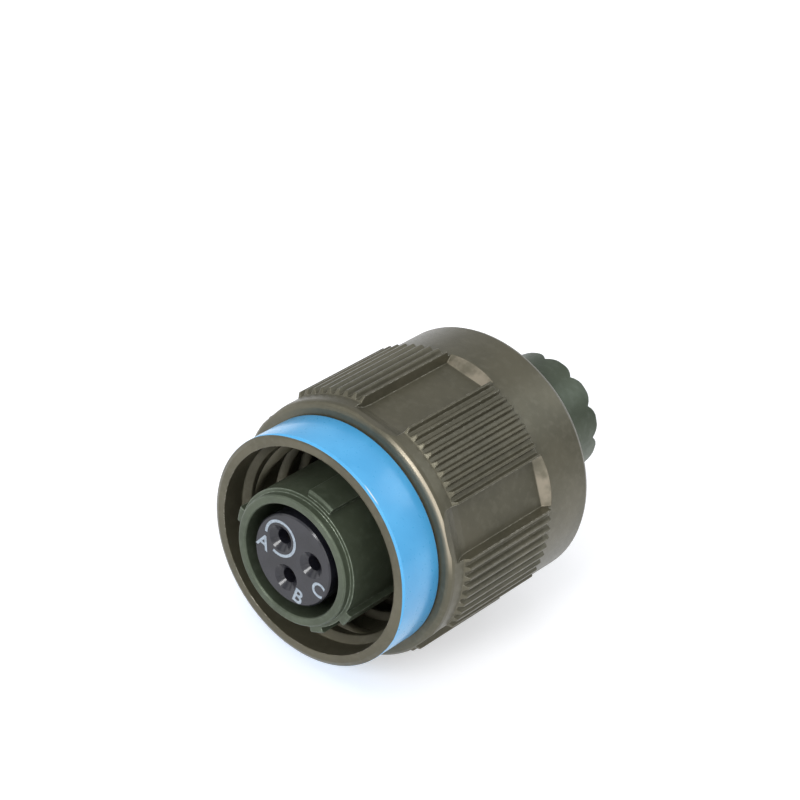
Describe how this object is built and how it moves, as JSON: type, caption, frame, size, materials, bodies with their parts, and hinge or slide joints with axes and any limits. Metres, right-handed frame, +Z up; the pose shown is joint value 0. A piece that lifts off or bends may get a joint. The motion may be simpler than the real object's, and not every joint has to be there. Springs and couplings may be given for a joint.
{
  "type": "circular connector plug",
  "caption": "Small round plug with a ridged, free-turning coupling nut, socket contacts in a grey insert, and a threaded, toothed rear end for a backshell.",
  "frame": {"origin": "middle of the bounding box's bottom, on the surface that the plug lies on", "axes": "+Y along the plug's axis towards the wire end, mating face towards -Y, +Z up"},
  "size_m": [0.0218, 0.0312, 0.0213],
  "materials": {
    "nut_olive": "brownish olive plating, satin",
    "shell_olive": "greenish olive plating, satin",
    "insert_grey": "matte",
    "grommet_rubber": "matte",
    "contact_gold": "gold plated",
    "plated_spring_alloy": "nickel plated",
    "spring_steel": "satin"
  },
  "bodies": {
    "shell": {"plug_shell": "shell_olive", "grounding_ring": "plated_spring_alloy", "front_insert": "insert_grey", "rear_insert": "insert_grey", "insert_retaining_ring": "spring_steel", "wire_grommet": "grommet_rubber", "socket_contact_a": "contact_gold", "contact_hood_a": "spring_steel", "retention_clip_a": "plated_spring_alloy", "socket_contact_b": "contact_gold", "contact_hood_b": "spring_steel", "retention_clip_b": "plated_spring_alloy", "socket_contact_c": "contact_gold", "contact_hood_c": "spring_steel", "retention_clip_c": "plated_spring_alloy"},
    "nut": {"coupling_nut": "nut_olive", "nut_retaining_ring": "spring_steel", "thrust_washer": "spring_steel", "detent_spring_a": "spring_steel", "detent_spring_b": "spring_steel", "detent_spring_c": "spring_steel"}
  },
  "joints": [
    {"name": "nut_turn", "type": "hinge", "parent": "shell", "child": "nut", "pos_m": [0, 0, 0.01068], "axis": [0, 1, 0], "continuous": true}
  ]
}
